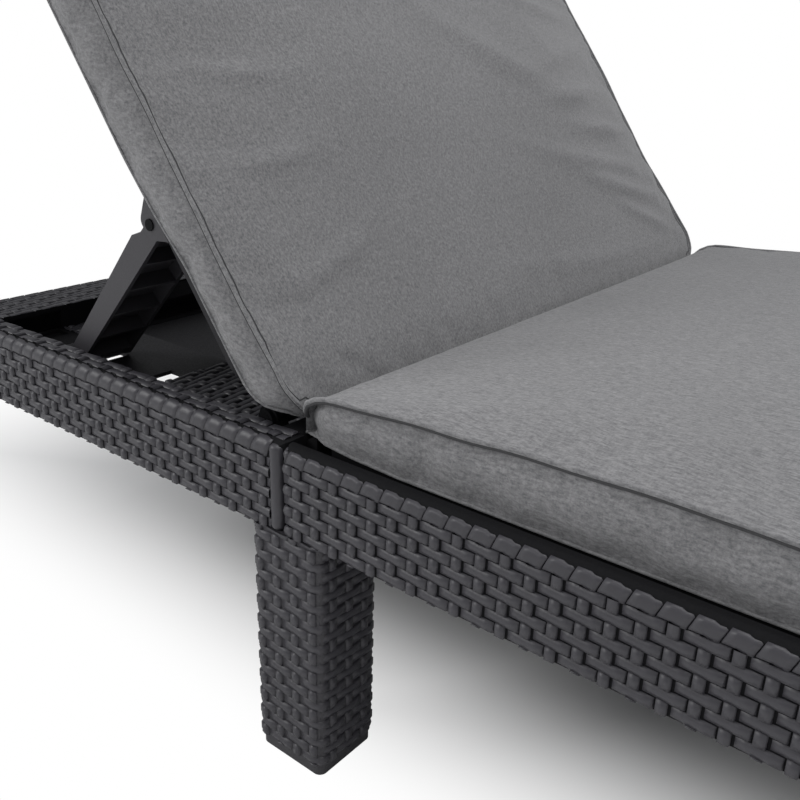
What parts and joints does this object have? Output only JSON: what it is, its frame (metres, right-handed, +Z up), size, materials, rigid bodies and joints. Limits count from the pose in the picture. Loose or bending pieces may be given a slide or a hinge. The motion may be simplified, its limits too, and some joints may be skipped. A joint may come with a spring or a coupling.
{
  "type": "sun lounger",
  "caption": "Sun lounger with wicker-look moulded rails on square legs, a ribbed backrest that reclines on a folding prop, and a padded mattress in seat and back sections.",
  "frame": {"origin": "on the floor, under the middle of the lounger's length and width as it stands with its back raised", "axes": "+X towards the foot end, +Y towards the left side of a person lying on it, +Z up"},
  "size_m": [1.6828, 0.6474, 0.7752],
  "materials": {
    "graphite_plastic": "satin, moulded weave relief",
    "cushion_fabric": "heathered mid grey weave",
    "zinc_steel": "zinc plated"
  },
  "bodies": {
    "base": {"corner_deck_left": "graphite_plastic", "corner_deck_right": "graphite_plastic", "foot_end_rail": "graphite_plastic", "foot_leg_left": "graphite_plastic", "foot_leg_right": "graphite_plastic", "front_cross_rail": "graphite_plastic", "front_side_rail_left": "graphite_plastic", "front_side_rail_right": "graphite_plastic", "head_end_rail": "graphite_plastic", "hinge_bracket_left": "zinc_steel", "hinge_bracket_right": "zinc_steel", "hinge_pin_left": "zinc_steel", "hinge_pin_right": "zinc_steel", "leg_bolts": "zinc_steel", "leg_nuts": "zinc_steel", "middle_leg_left": "graphite_plastic", "middle_leg_right": "graphite_plastic", "module_bolts": "zinc_steel", "module_nuts": "zinc_steel", "prop_track_left": "graphite_plastic", "prop_track_right": "graphite_plastic", "rear_beam": "graphite_plastic", "rear_cross_rail": "graphite_plastic", "rear_deck": "graphite_plastic", "rear_side_rail_left": "graphite_plastic", "rear_side_rail_right": "graphite_plastic", "seat_beam_1": "graphite_plastic", "seat_beam_2": "graphite_plastic", "seat_beam_3": "graphite_plastic", "seat_beam_4": "graphite_plastic", "seat_cushion": "cushion_fabric", "seat_deck_foot": "graphite_plastic", "seat_deck_head": "graphite_plastic", "sunken_pan": "graphite_plastic"},
    "backrest": {"back_cushion": "cushion_fabric", "back_panel": "graphite_plastic", "prop_bracket_left": "graphite_plastic", "prop_bracket_right": "graphite_plastic", "prop_pin_left": "zinc_steel", "prop_pin_right": "zinc_steel"},
    "prop": {"prop_cross_panel": "graphite_plastic", "prop_leg_left": "graphite_plastic", "prop_leg_right": "graphite_plastic"}
  },
  "joints": [
    {"name": "recline", "type": "hinge", "parent": "base", "child": "backrest", "pos_m": [-0.44912, 0, 0.234], "axis": [0, 1, 0], "range_deg": [-51.1, 14.5]},
    {"name": "prop_fold", "type": "hinge", "parent": "backrest", "child": "prop", "pos_m": [-0.55271, 0, 0.34438], "axis": [0, 1, 0], "range_deg": [-27.6, 97.1]}
  ],
  "couplings": [
    {"joint": "prop_fold", "follows": "recline", "ratio": -1.9}
  ]
}
